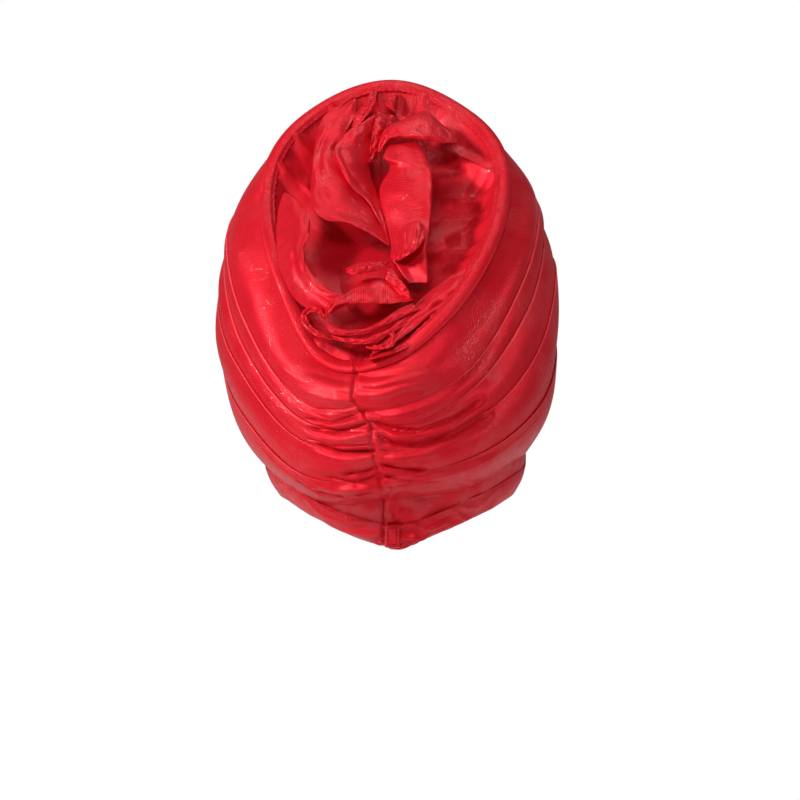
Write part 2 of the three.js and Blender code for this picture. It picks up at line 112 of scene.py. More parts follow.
CAP_ABOVE_HEM = 0.0012
CROWN_POLE = 0.0004


def smoothstep(x, low, high):
    t = np.clip((x - low) / (high - low), 0, 1)
    return t * t * (3 - 2 * t)


def blended(a, b, share):
    return a + (b - a) * share


def round_the_head(row, theta):
    degrees = np.degrees(theta) % 360
    angles = np.array(COLUMN_DEGREES + (360,), float)
    values = np.array(row + row[:1], float)
    before = np.concatenate(([values[-2]], values[:-1]))
    after = np.concatenate((values[1:], [values[1]]))
    left = np.concatenate(([angles[-2] - 360], angles[:-1]))
    right = np.concatenate((angles[1:], [360 + angles[1]]))
    slope = (after - before) / (right - left)
    at = np.clip(np.searchsorted(angles, degrees, side="right") - 1, 0, len(row) - 1)
    span = angles[at + 1] - angles[at]
    t = (degrees - angles[at]) / span
    ease = t * t * (3 - 2 * t)
    bend = t * (1 - t)
    rise = values[at + 1] - values[at]
    return values[at] + rise * ease + span * bend * (slope[at] * (1 - t) - slope[at + 1] * t)


def height_of(edge, theta):
    return round_the_head(EDGE_HEIGHTS[edge], theta) * TURBAN_HEIGHT - NAPE_DROP


def seam_x(z):
    heights, across = np.array(SEAM_PATH).T
    return np.interp(z, heights, across)


def creased(x, z):
    """How deep the sharp creases cut at a place"""
    deep = np.zeros_like(x)
    for depth, width, path in CREASES:
        across, level = np.array(path).T / 1000
        if across[0] > across[-1]:
            across, level = across[::-1], level[::-1]
        far = np.abs(z - np.interp(x, across, level)) * 1000 / width
        ends = smoothstep(x, across[0] - 0.003, across[0] + 0.006)
        ends = ends * (1 - smoothstep(x, across[-1] - 0.006, across[-1] + 0.003))
        cut = 0.55 * np.exp(-((far / 0.55) ** 1.5)) + 0.45 * np.exp(-((far / 2.4) ** 2))
        deep = np.maximum(deep, CREASE_SCALE * depth * ends * cut)
    return deep


def crumpled(x, z):
    """Irregular flat wrinkles of the slack cloth above the hem"""
    long = np.sin(z / 0.0026 + 2.3 * np.sin(x / 0.012) + x / 0.022 + 1.2 * np.sin(x / 0.0047))
    short = np.sin(x / 0.0058 + 2.6 * np.sin(z / 0.0051 + x / 0.03))
    within = 1 - smoothstep(z, CRUMPLE_TOP - CRUMPLE_FADE, CRUMPLE_TOP)
    side = np.exp(-((x / CRUMPLE_REACH) ** 4))
    return CRUMPLE_DEPTH * within * side * (0.5 - np.abs(0.65 * long + 0.35 * short))


def seam_pull(x, y, z):
    """How far the seam and its gathers move the cloth outward at a place"""
    away = x - seam_x(z)
    behind = smoothstep(y, BEHIND_FROM, BEHIND_TO)
    rim = height_of("rim", np.zeros_like(z))
    below = 1 - smoothstep(z, rim - RIM_FADE, rim + RIM_FADE)
    dent = SEAM_DEPTH * np.exp(-((away / SEAM_WIDTH) ** 2))
    crease = CREASE_DEPTH * np.exp(-((away / CREASE_WIDTH) ** 2))
    theta = np.arctan2(x, y)
    lift = height_of("ledge3", theta) - height_of("ledge3", np.zeros_like(theta))
    side = np.where(away > 0, 0.45, 0.0)
    wander = 0.42 * np.sin(away / 0.013 + z / 0.019) + 0.25 * np.sin(away / 0.0062 - z / 0.011 + 2)
    phase = np.pi * ((z - lift) / GATHER_STEP + side + wander * np.abs(away) / GATHER_REACH)
    wave = np.sqrt(np.sin(phase) ** 2 + 0.02)
    strength = 0.72 + 0.28 * np.sin(z / 0.0075 + 1.7 * np.sign(away))
    reach = np.exp(-(np.abs(away) / GATHER_REACH) ** 2.2) * (1 - 0.35 * np.exp(-((away / 0.004) ** 2)))
    gathers = GATHER_DEPTH * (wave - 0.6) * reach * strength
    return behind * below * (gathers - dent - crease - creased(x, z) + crumpled(x, z))


def off_cap(theta, side_out, deep_out, z, hug, wall=CAP_WALL):
    """A point standing off the cap's outer face; hug 1 lies on its dome and 0 stays upright"""
    low = np.maximum(0, -z - WIDEST_LEVEL) / (NAPE_DROP - WIDEST_LEVEL)
    high = np.clip((z + WIDEST_LEVEL) / (WIDEST_LEVEL + wall), 0, 1)
    dome = 1 - hug * (1 - np.sqrt(np.maximum(0, 1 - high * high)))
    c = np.cos(theta)
    side = (HEAD_WIDTH / 2 * (1 - NARROW_SIDE * low ** SIDE_TURN_IN) + wall) * dome
    back = (HEAD_BACK * (1 - NARROW_BACK * low * low) + wall) * dome
    front = (HEAD_FRONT * (1 - NARROW_FRONT * low * low) + wall) * dome
    deep = np.where(c > 0, back, front)
    x = (side + side_out) * np.sin(theta) + LEAN * np.minimum(0, z + LEAN_LEVEL)
    y = (deep + deep_out) * c
    return np.stack((x, y, z), axis=1)


def pulled(theta, side_out, deep_out, z, hug, extra=0.0):
    """The same point, drawn in by the seam and puffed out by its gathers"""
    p = off_cap(theta, side_out, deep_out, z, hug)
    move = seam_pull(p[:, 0], p[:, 1], p[:, 2]) + extra
    return off_cap(theta, side_out + move, deep_out + move, z, hug)


def round_angle(s):
    turn = (s + 0.5) * 2 * np.pi
    return turn - CROWDING * np.sin(turn)


def cloth_mesh(name, columns, rows, place, flat, flip=False, closed=True, slant=0.0):
    """A grid of cloth shaped by place(s, t), with its threads in the UV map in metres"""
    bm = bmesh.new()
    bmesh.ops.create_grid(bm, x_segments=columns, y_segments=rows, size=0.5)
    bm.verts.index_update()
    grid = np.array([v.co[:] for v in bm.verts])
    s = (grid[:, 0] - grid[:, 0].min()) / np.ptp(grid[:, 0])
    t = (grid[:, 1] - grid[:, 1].min()) / np.ptp(grid[:, 1])
    threads = bm.loops.layers.uv.new("threads")
    run = s * flat[0] + slant * np.sin(2 * np.pi * s) * t * flat[1]
    for face in bm.faces:
        face.smooth = True
        for loop in face.loops:
            i = loop.vert.index
            loop[threads].uv = (run[i], t[i] * flat[1])
    for v, p in zip(bm.verts, place(s, t)):
        v.co = p
    if closed:
        bmesh.ops.remove_doubles(bm, verts=bm.verts[:], dist=1e-6)
    if flip:
        bmesh.ops.reverse_faces(bm, faces=bm.faces[:])
    mesh = bpy.data.meshes.new(name)
    bm.to_mesh(mesh)
    bm.free()
    return mesh


def worn(mesh, material, node):
    """The object for a mesh, riding on the turban in a node's place"""
    piece = bpy.data.objects.new(mesh.name, mesh)
    bpy.context.scene.collection.objects.link(piece)
    piece.data.materials.append(material)
    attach(piece, "root")
    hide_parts(node)
    return piece


def give_thickness(piece, thickness, inward=-1):
    wall = piece.modifiers.new("wall", "SOLIDIFY")
    wall.thickness = thickness
    wall.offset = inward


# Every piece is the same crinkled stretch cloth with a thin shiny film, woven in fine irregular ribs
LIT_RED = (0.80, 0.010, 0.026, 1)
# The red of the rib valleys, darker than the cloth's red as painted shade in the grooves
RIB_SHADE_RED = (0.55, 0.004, 0.012, 1)
# A lighter red painted along each wrap's top fold, as a painted highlight where the fold catches the light
FOLD_HIGHLIGHT_RED = (0.95, 0.09, 0.11, 1)
WRAP_ROUND = 0.70
RIB_EVERY = 0.0011
RIB_LENGTH = 0.016


def cloth_material(name, ribs=1.0, glint=0.5, fold_at=None, sheen=0.05):
    material = bpy.data.materials.new(name)
    material.use_nodes = True
    nodes = material.node_tree.nodes
    links = material.node_tree.links
    shader = nodes["Principled BSDF"]
    threads = nodes.new("ShaderNodeUVMap")
    threads.uv_map = "threads"
    along = nodes.new("ShaderNodeMapping")
    along.inputs["Scale"].default_value = (1 / RIB_EVERY, 1 / RIB_LENGTH, 1)
    links.new(threads.outputs["UV"], along.inputs["Vector"])
    rib = nodes.new("ShaderNodeTexWave")
    rib.wave_profile = "SIN"
    rib.inputs["Scale"].default_value = math.pi / 10
    rib.inputs["Distortion"].default_value = 3.2
    rib.inputs["Detail"].default_value = 2.0
    rib.inputs["Detail Scale"].default_value = 1.1
    rib.inputs["Detail Roughness"].default_value = 0.6
    links.new(along.outputs["Vector"], rib.inputs["Vector"])
    place = nodes.new("ShaderNodeTexCoord")
    grain = nodes.new("ShaderNodeTexNoise")
    grain.inputs["Scale"].default_value = 1500.0
    grain.inputs["Detail"].default_value = 2.0
    links.new(place.outputs["Object"], grain.inputs["Vector"])
    patches = nodes.new("ShaderNodeTexNoise")
    patches.inputs["Scale"].default_value = 45.0
    patches.inputs["Detail"].default_value = 3.0
    links.new(place.outputs["Object"], patches.inputs["Vector"])

    # Painted shade: the colour follows the ribs, darker in their valleys and the cloth's red on their crests
    tint = nodes.new("ShaderNodeValToRGB")
    tint.color_ramp.elements[0].position = 0.05
    tint.color_ramp.elements[0].color = RIB_SHADE_RED
    tint.color_ramp.elements[1].position = 0.55
    tint.color_ramp.elements[1].color = LIT_RED
    links.new(rib.outputs["Fac"], tint.inputs["Fac"])
    if fold_at is None:
        links.new(tint.outputs["Color"], shader.inputs["Base Color"])
    else:
        # Painted highlight: a lighter red band along the wrap's top fold, faded out near the seam
        split = nodes.new("ShaderNodeSeparateXYZ")
        links.new(threads.outputs["UV"], split.inputs["Vector"])
        off = nodes.new("ShaderNodeMath")
        off.operation = "SUBTRACT"
        off.inputs[1].default_value = fold_at
        links.new(split.outputs["Y"], off.inputs[0])
        apart = nodes.new("ShaderNodeMath")
        apart.operation = "ABSOLUTE"
        links.new(off.outputs["Value"], apart.inputs[0])
        painted_fold_highlight = nodes.new("ShaderNodeMapRange")
        painted_fold_highlight.inputs["From Min"].default_value = 0.0012
        painted_fold_highlight.inputs["From Max"].default_value = 0.0030
        painted_fold_highlight.inputs["To Min"].default_value = 0.8
        painted_fold_highlight.inputs["To Max"].default_value = 0.0
        links.new(apart.outputs["Value"], painted_fold_highlight.inputs["Value"])
        beside = nodes.new("ShaderNodeMath")
        beside.operation = "SUBTRACT"
        beside.inputs[1].default_value = WRAP_ROUND / 2
        links.new(split.outputs["X"], beside.inputs[0])
        aside = nodes.new("ShaderNodeMath")
        aside.operation = "ABSOLUTE"
        links.new(beside.outputs["Value"], aside.inputs[0])
        clear = nodes.new("ShaderNodeMapRange")
        clear.inputs["From Min"].default_value = 0.050
        clear.inputs["From Max"].default_value = 0.095
        links.new(aside.outputs["Value"], clear.inputs["Value"])
        shown = nodes.new("ShaderNodeMath")
        shown.operation = "MULTIPLY"
        links.new(painted_fold_highlight.outputs["Result"], shown.inputs[0])
        links.new(clear.outputs["Result"], shown.inputs[1])
        fold_highlight_mix = nodes.new("ShaderNodeMix")
        fold_highlight_mix.data_type = "RGBA"
        fold_highlight_mix.inputs["B"].default_value = FOLD_HIGHLIGHT_RED
        links.new(shown.outputs["Value"], fold_highlight_mix.inputs["Factor"])
        links.new(tint.outputs["Color"], fold_highlight_mix.inputs["A"])
        links.new(fold_highlight_mix.outputs["Result"], shader.inputs["Base Color"])

    rough = nodes.new("ShaderNodeMapRange")
    rough.inputs["From Min"].default_value = 0.35
    rough.inputs["From Max"].default_value = 0.65
    rough.inputs["To Min"].default_value = 0.34
    rough.inputs["To Max"].default_value = 0.52
    links.new(patches.outputs["Fac"], rough.inputs["Value"])
    links.new(rough.outputs["Result"], shader.inputs["Roughness"])

    fine = nodes.new("ShaderNodeBump")
    fine.inputs["Strength"].default_value = 0.12
    fine.inputs["Distance"].default_value = 0.0002
    links.new(grain.outputs["Fac"], fine.inputs["Height"])
    ribbed = nodes.new("ShaderNodeBump")
    ribbed.inputs["Strength"].default_value = 0.30 * ribs
    ribbed.inputs["Distance"].default_value = 0.0003
    links.new(rib.outputs["Fac"], ribbed.inputs["Height"])
    links.new(fine.outputs["Normal"], ribbed.inputs["Normal"])
    links.new(ribbed.outputs["Normal"], shader.inputs["Normal"])
    shiny = nodes.new("ShaderNodeMapRange")
    shiny.inputs["From Min"].default_value = 0.46
    shiny.inputs["From Max"].default_value = 0.58
    shiny.inputs["To Min"].default_value = 0.04
    shiny.inputs["To Max"].default_value = glint
    links.new(patches.outputs["Fac"], shiny.inputs["Value"])
    links.new(shiny.outputs["Result"], shader.inputs["Coat Weight"])
    crinkle = nodes.new("ShaderNodeTexNoise")
    crinkle.inputs["Scale"].default_value = 330.0
    crinkle.inputs["Detail"].default_value = 4.0
    links.new(place.outputs["Object"], crinkle.inputs["Vector"])
    film = nodes.new("ShaderNodeBump")
    film.inputs["Strength"].default_value = 1.0
    film.inputs["Distance"].default_value = 0.0013
    links.new(crinkle.outputs["Fac"], film.inputs["Height"])
    links.new(film.outputs["Normal"], shader.inputs["Coat Normal"])

    shader.inputs["Metallic"].default_value = 0.35
    shader.inputs["Specular IOR Level"].default_value = 0.14
    shader.inputs["Coat Roughness"].default_value = 0.07
    shader.inputs["Sheen Weight"].default_value = sheen
    shader.inputs["Sheen Roughness"].default_value = 0.30
    shader.inputs["Sheen Tint"].default_value = (1.0, 0.45, 0.50, 1)
    return material


def cap_place(s, t):
    theta = round_angle(s)
    bottom = height_of("hem", theta) + CAP_ABOVE_HEM
    down = 1 - np.cos(t * np.pi / 2)
    z = CAP_WALL + (bottom - CAP_WALL) * np.maximum(down, CROWN_POLE)
    return pulled(theta, 0.0, 0.0, z, 1.0)


cap_mesh = cloth_mesh("cap_shell", CAP_COLUMNS, CAP_ROWS, cap_place, (0.55, 0.20), flip=True)
cap = worn(cap_mesh, cloth_material("cap_cloth", ribs=0.8, glint=0.7), "base_cap")
give_thickness(cap, CAP_THICKNESS)

# Hem band
# The cap's lower edge is turned up and sewn down as a casing 15 mm deep, ribbed across and slightly puckered
# by its stitches.
HEM_WIDTH = 0.015
HEM_WALL = 0.0016
HEM_FOLD_START = 0.22
HEM_FOLD_END = 0.34
HEM_INSIDE = 0.006
HEM_PUFF = 0.0005
HEM_PUCKER = 0.00025
HEM_PUCKERS = 170
HEM_SEWN_AT = 0.86


def hem_place(s, t):
    theta = round_angle(s)
    low = height_of("hem", theta)
    # down the inner side, round the lower edge, then up the outer side
    inner = np.clip((HEM_FOLD_START - t) / HEM_FOLD_START, 0, 1)
    outer = np.clip((t - HEM_FOLD_END) / (1 - HEM_FOLD_END), 0, 1)
    fold = np.clip((t - HEM_FOLD_START) / (HEM_FOLD_END - HEM_FOLD_START), 0, 1) * np.pi
    half = (HEM_WALL + CAP_WALL) / 2
    out = -CAP_WALL + half * (1 - np.cos(fold)) + GAP * outer
    out = out + HEM_PUFF * np.sin(np.pi * outer)
    z = low + half * (1 - np.sin(fold)) + inner * HEM_INSIDE + outer * HEM_WIDTH
    pucker = HEM_PUCKER * np.sin(theta * HEM_PUCKERS) * np.exp(-(((outer - HEM_SEWN_AT) / 0.06) ** 2))
    return pulled(theta, out + pucker, out + pucker, z, 1.0)


hem_mesh = cloth_mesh("hem_casing", 420, 40, hem_place, (0.55, 0.022), flip=True)
hem = worn(hem_mesh, cloth_material("hem_cloth", ribs=1.1, glint=0.35), "hem_band")

STITCH_LENGTH = 0.0023
STITCH_WIDTH = 0.0006
HEM_STITCHES = 150
HEM_STITCH_OFF = 0.0017

thread_material = bpy.data.materials.new("stitch_thread")
thread_material.use_nodes = True
thread_shader = thread_material.node_tree.nodes["Principled BSDF"]
thread_shader.inputs["Base Color"].default_value = (0.40, 0.004, 0.010, 1)
thread_shader.inputs["Roughness"].default_value = 0.42


def stitched(name, places, along, out):
    """A row of short stitches lying on the cloth, at places, running along and standing out"""
    bm = bmesh.new()
    for p, a, o in zip(places, along, out):
        a = Vector(a).normalized()
        o = Vector(o).normalized()
        side = a.cross(o).normalized()
        turned = Matrix((a * STITCH_LENGTH, side * STITCH_WIDTH, o * STITCH_WIDTH)).transposed().to_4x4()
        turned.translation = Vector(p)
        bmesh.ops.create_icosphere(bm, subdivisions=2, radius=0.5, matrix=turned)
    for face in bm.faces:
        face.smooth = True
    mesh = bpy.data.meshes.new(name)
    bm.to_mesh(mesh)
    bm.free()
    row = bpy.data.objects.new(name, mesh)
    bpy.context.scene.collection.objects.link(row)
    row.data.materials.append(thread_material)
    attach(row, "root")


hem_theta = round_angle((np.arange(HEM_STITCHES) + 0.5) / HEM_STITCHES)
hem_line = height_of("hem", hem_theta) + HEM_WIDTH * HEM_SEWN_AT
hem_sewn = pulled(hem_theta, GAP + HEM_STITCH_OFF, GAP + HEM_STITCH_OFF, hem_line, 1.0)
hem_ahead = np.roll(hem_sewn, -1, axis=0) - np.roll(hem_sewn, 1, axis=0)
hem_out = np.stack((np.sin(hem_theta), np.cos(hem_theta), np.zeros_like(hem_theta)), axis=1)
stitched("hem_stitches", hem_sewn, hem_ahead, hem_out)

# Nape tab
# A small patch of the same cloth, folded under along its edges and sewn over the end of the seam, so that
# the gathers can't pull it open.
TAB_MIDDLE = -0.0023
TAB_WIDTH = 0.0090
TAB_LOW = -0.1780
TAB_HEIGHT = 0.0150
TAB_OFF = 0.0034
TAB_THICKNESS = 0.0008


def tab_point(across, level, off):
    """A place on the patch, from its shares across and up"""
    z = TAB_LOW + TAB_HEIGHT * level
    x = TAB_MIDDLE + TAB_WIDTH * (0.5 - across)
    low = np.maximum(0, -z - WIDEST_LEVEL) / (NAPE_DROP - WIDEST_LEVEL)
    lean = LEAN * np.minimum(0, z + LEAN_LEVEL)
    side = HEAD_WIDTH / 2 * (1 - NARROW_SIDE * low ** SIDE_TURN_IN) + CAP_WALL + off
    theta = np.arcsin((x - lean) / side)
    return off_cap(theta, off, off, z, 1.0)


def tab_place(s, t):
    edge = np.minimum(np.minimum(s, 1 - s) * TAB_WIDTH, np.minimum(t, 1 - t) * TAB_HEIGHT)
    turned = 0.0009 * (1 - smoothstep(edge, 0, 0.0008))
    sewn = 0.0004 * np.exp(-(((edge - 0.0018) / 0.0005) ** 2))
    crease = 0.0003 * np.sin(t * 9 + 2 * s) * np.sin(s * 5)
    return tab_point(s, t, TAB_OFF - turned - sewn + crease)


tab_mesh = cloth_mesh("tab_patch", 40, 60, tab_place, (TAB_WIDTH, TAB_HEIGHT), closed=False)
tab = worn(tab_mesh, cloth_material("tab_cloth", ribs=0.9, glint=0.5), "nape_tab")
give_thickness(tab, TAB_THICKNESS)

# Five stitches up each side of the patch, then two along its top and two along its foot
up_side = np.linspace(0.15, 0.85, 5)
over_edge = np.linspace(0.35, 0.65, 2)
tab_across = np.concatenate((np.full(5, 0.2), np.full(5, 0.8), over_edge, over_edge))
tab_level = np.concatenate((up_side, up_side, np.full(2, 0.12), np.full(2, 0.88)))
tab_along = np.array([(0, 0, 1)] * 10 + [(1, 0, 0)] * 4, float)
tab_sewn = tab_point(tab_across, tab_level, TAB_OFF)
stitched("tab_stitches", tab_sewn, tab_along, np.tile((0.0, 1.0, 0.0), (len(tab_sewn), 1)))

# Wraps
# Five wraps of doubled cloth go round the head, each lower one lying outside the one above it. Its top edge
# is a pressed fold, and toward the seam all of them are gathered into it.
WRAP_WALL = 0.0018
FULLNESS = 0.028
TUCK = 0.007
EDGES = ("rim", "ledge1", "ledge2", "ledge3", "ledge4", "wrap_end")
LAST_WRAP = 4
# How far each edge stands off the cap, as shares of the fullness, and the bulge of the cloth below it
STANDOFF = {
    "rim": {"left": -0.16, "right": -0.34, "back": 0.7, "front": -1.37, "bulge": 0.16},
    "ledge1": {"left": 0.62, "right": 0.34, "back": 0.95, "front": 0.13, "bulge": 0.05},
    "ledge2": {"left": 0.67, "right": 0.46, "back": 1.02, "front": 0.27, "bulge": 0.05},
    "ledge3": {"left": 0.82, "right": 0.73, "back": 1.02, "front": 0.38, "bulge": 0.08},
    "ledge4": {"left": 0.75, "right": 0.74, "back": 0.9, "front": 0.43, "bulge": 0.16},
    "wrap_end": {"left": 0.0, "right": 0.0, "back": 0.0, "front": 0.0, "bulge": 0.0},
}


def standing_off(edge, theta):
    row = STANDOFF[edge]
    side = np.where(np.sin(theta) > 0, row["left"], row["right"])
    deep = np.where(np.cos(theta) > 0, row["back"], row["front"])
    seated = GAP + WRAP_WALL
    return seated + FULLNESS * side, seated + FULLNESS * deep


LEDGE_STEP = 0.55
SEAM_NEAR = 0.52
PILLOW = 0.0004
SLACK = 0.0006
# Where a wrap's cloth passes from its inside to its fold, its face and its tuck, as shares of its width
INSIDE_END = 0.10
FOLD_END = 0.20
FACE_END = 0.88
WRAP_INSIDE = 0.006
# Where the painted highlight runs along a wrap's top fold, as a share of its depth
FOLD_LINE = 0.16


def near_seam(theta):
    """1 at the seam, falling to 0 where the pleats lie clear of its gathers"""
    turn = (theta + np.pi) % (2 * np.pi) - np.pi
    return np.exp(-((np.abs(turn) / SEAM_NEAR) ** 3))


def wrap_point(wrap, theta, share, into=0.0, lift=0.0):
    """A point on a wrap's outer face, at a share of the way down to the next edge, moved inward by into"""
    top = height_of(EDGES[wrap], theta)
    following = height_of(EDGES[wrap + 1], theta)
    side1, deep1 = standing_off(EDGES[wrap], theta)
    side2, deep2 = standing_off(EDGES[wrap + 1], theta)
    last = wrap == LAST_WRAP
    step = LEDGE_STEP * (1 - 0.92 * near_seam(theta))
    behind = 0.0 if last else (WRAP_WALL + GAP) * np.clip(share, 0, 1) * step
    bulge = FULLNESS * STANDOFF[EDGES[wrap]]["bulge"] * np.sin(np.pi * np.clip(share, 0, 1))
    pillow = PILLOW * near_seam(theta * 0.55) * np.sin(np.pi * np.clip(share, 0, 1)) ** 0.7
    slack = SLACK * np.sin(3 * theta + 1.3 * wrap) * np.sin(np.pi * np.clip(share, 0, 1))
    shift = bulge + pillow + slack - behind - into
    side = blended(side1, side2, share) + shift
    deep = blended(deep1, deep2, share) + shift
    hug = np.clip(share, 0, 1) if last else np.zeros_like(share)
    z = top + (following - top) * share + lift
    return pulled(theta, side, deep, z, hug)


def wrap_place(wrap):
    def place(s, t):
        theta = round_angle(s)
        step = LEDGE_STEP * (1 - 0.92 * near_seam(theta))
        radius = WRAP_WALL / 2 * step
        face_end = FACE_END if wrap < LAST_WRAP else 1
        inner = np.clip((INSIDE_END - t) / INSIDE_END, 0, 1)
        fold = np.clip((t - INSIDE_END) / (FOLD_END - INSIDE_END), 0, 1) * np.pi
        face = np.clip((t - FOLD_END) / (face_end - FOLD_END), 0, 1)
        tuck = np.clip((t - FACE_END) / (1 - FACE_END), 0, 1) if wrap < LAST_WRAP else np.zeros_like(t)
        into = radius * (1 + np.cos(fold))
        lift = radius * (np.sin(fold) - 1) - WRAP_INSIDE * inner
        lift = np.where(face > 0, -radius * (1 - face), lift)
        p = wrap_point(wrap, theta, face, into, lift)
        if wrap < LAST_WRAP:
            nxt = height_of(EDGES[wrap + 1], theta)
            after = height_of(EDGES[wrap + 2], theta)
            down = np.minimum(0.8, TUCK * tuck / (nxt - after))
            hidden = wrap_point(wrap + 1, theta, down, (WRAP_WALL + GAP) * step, 0.0)
            p = np.where((tuck > 0)[:, None], hidden, p)
        return p

    return place


WRAP_ROWS = (64, 36, 40, 56, 64)
WRAP_COLUMNS = 660
WRAP_DEPTHS = (0.062, 0.036, 0.040, 0.060, 0.062)
for wrap in range(LAST_WRAP + 1):
    depth = WRAP_DEPTHS[wrap]
    rows = WRAP_ROWS[wrap]
    wrap_mesh = cloth_mesh(
        f"wrap_{wrap + 1}", WRAP_COLUMNS, rows, wrap_place(wrap), (WRAP_ROUND, depth), flip=True, slant=0.45,
    )
    # Each lower wrap gets a painted highlight along its top fold
    fold_at = depth * FOLD_LINE if wrap > 0 else None
    sheen = 0.28 if wrap == 0 else 0.08
    wrap_cloth = cloth_material(f"wrap_cloth_{wrap + 1}", glint=0.4, fold_at=fold_at, sheen=sheen)
    piece = worn(wrap_mesh, wrap_cloth, f"wrap_band_{wrap + 1}")

# Rim roll
# The crown opening's edge is rolled over a soft core and stitched down on its inner side, so that a narrow
# ribbed roll runs round it.
ROLL_WIDTH = 0.0104
ROLL_THICKNESS = 0.0048
ROLL_PUCKER = 0.06
PUCKERS = 110
SEWN_AT = 0.70
RIM_STITCHES = 170


def opening_frame():
    ends = wrap_point(0, np.array([0.0, np.pi]), np.array([0.0, 0.0]))
    up = ends[1] - ends[0]
    up[0] = 0.0
    half = np.linalg.norm(up) / 2
    up = up / np.linalg.norm(up)
    return ends.mean(axis=0), up, half, np.array([0.0, up[2], -up[1]])


MIDDLE, UP, HALF_UP, OUT = opening_frame()


def rim_path(theta):
    p = wrap_point(0, theta, np.zeros_like(theta))
    ahead = wrap_point(0, theta + 0.004, np.zeros_like(theta))
    along = ahead - p
    along /= np.linalg.norm(along, axis=1)[:, None]
    inward = np.cross(along, OUT)
    inward /= np.linalg.norm(inward, axis=1)[:, None]
    return p, inward


def roll_place(s, t):
    theta = round_angle(s)
    p, inward = rim_path(theta)
    turn = t * 2 * np.pi
    ripple = 1 + ROLL_PUCKER * np.sin(theta * PUCKERS + 2 * np.sin(theta * 7)) * (np.cos(turn) < 0)
    centre = p + inward * (ROLL_WIDTH * 0.38) + OUT * (ROLL_THICKNESS * 0.20)
    wide = ROLL_WIDTH / 2 * np.sign(np.cos(turn)) * np.abs(np.cos(turn)) ** 0.9 * ripple
    sewn = 1 - 0.4 * np.exp(-(((np.cos(turn) + SEWN_AT) / 0.15) ** 2))
    high = ROLL_THICKNESS / 2 * np.sin(turn) * sewn
    return centre - inward * wide[:, None] + OUT * high[:, None]


roll_mesh = cloth_mesh("rolled_rim", 720, 28, roll_place, (0.62, 0.024))
roll = worn(roll_mesh, cloth_material("rim_cloth", ribs=1.2, glint=0.3), "rim_roll")

rim_theta = round_angle((np.arange(RIM_STITCHES) + 0.5) / RIM_STITCHES)
rim_edge, rim_inward = rim_path(rim_theta)
rim_sewn = rim_edge + rim_inward * (ROLL_WIDTH * (0.38 + SEWN_AT / 2)) + OUT * (ROLL_THICKNESS * 0.42)
stitched("rim_stitches", rim_sewn, np.cross(OUT, rim_inward), np.tile(OUT, (RIM_STITCHES, 1)))

# Crown rosette
# The crown's own cloth, pulled in from the rolled rim and gathered into a knot below its middle. It stands up
# in petals, loops and a mouth-shaped pocket, which are tacked by hand and stay soft.
ELEVATION = math.radians(8.0)
VIEW_DISTANCE = 1.5
VIEW_TARGET = np.array((-0.0068, 0.0, -0.100))
SEEN_MIDDLE = 0.0028
VIEW_BACK = np.array((0.0, math.cos(ELEVATION), math.sin(ELEVATION)))
VIEW_UP = np.array((0.0, -math.sin(ELEVATION), math.cos(ELEVATION)))
EYE = VIEW_TARGET + VIEW_DISTANCE * VIEW_BACK
FOLD_COLUMNS = 88
FOLD_ROWS = 34
CRUMPLE = 0.00045
PLEAT = 0.0012
